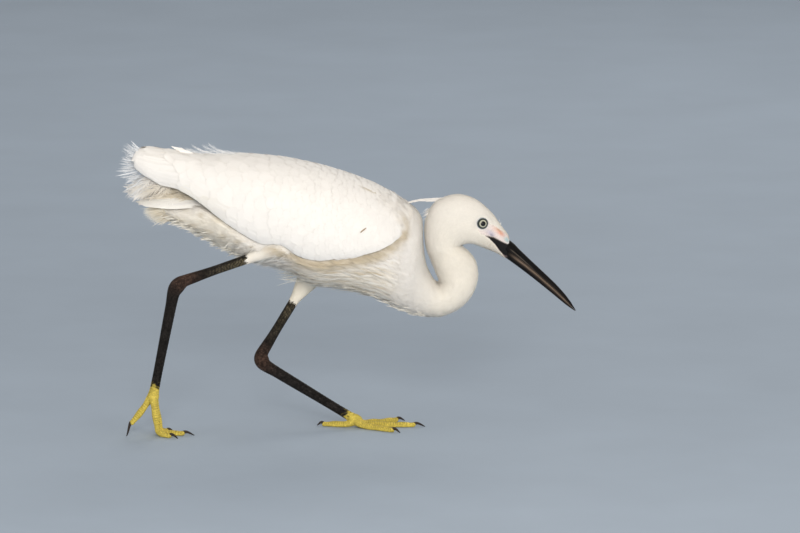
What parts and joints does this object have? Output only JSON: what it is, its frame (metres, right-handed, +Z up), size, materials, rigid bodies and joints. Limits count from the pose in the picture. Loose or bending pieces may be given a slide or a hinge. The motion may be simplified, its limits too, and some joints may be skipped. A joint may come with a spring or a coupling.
{
  "type": "little egret",
  "caption": "Life-size little egret stalking: body level, neck folded in a low S, dagger bill pointing down, one leg stepping and one trailing; white plumage, black bill and legs, yellow feet.",
  "frame": {"origin": "on the floor, under the middle of the bird's bounding box", "axes": "+X towards the bill along the bird's length, +Y to the bird's left across its width, +Z up"},
  "size_m": [0.4091, 0.0952, 0.2612],
  "materials": {
    "plumage": "warm white feathers, matt with a faint silky sheen",
    "bill": "black horn, satin, browner along the sides",
    "leg_skin": "black scaled skin, satin",
    "foot_skin": "yellow scaled skin with black claws, satin",
    "eye": "pale yellow-grey iris and black pupil under a clear wet cornea"
  },
  "bodies": {
    "root": {"trunk": "plumage", "neck_lower": "plumage", "neck_middle": "plumage", "neck_upper": "plumage", "head": "plumage", "crest": "plumage", "wing_left": "plumage", "wing_right": "plumage", "tail": "plumage", "back_plumes": "plumage", "thigh_left": "plumage", "thigh_right": "plumage", "bill_upper": "bill", "bill_lower": "bill", "eye_left": "eye", "eye_right": "eye", "shank_left": "leg_skin", "shank_right": "leg_skin", "tarsus_left": "leg_skin", "tarsus_right": "leg_skin", "foot_left": "foot_skin", "foot_right": "foot_skin"}
  },
  "joints": []
}
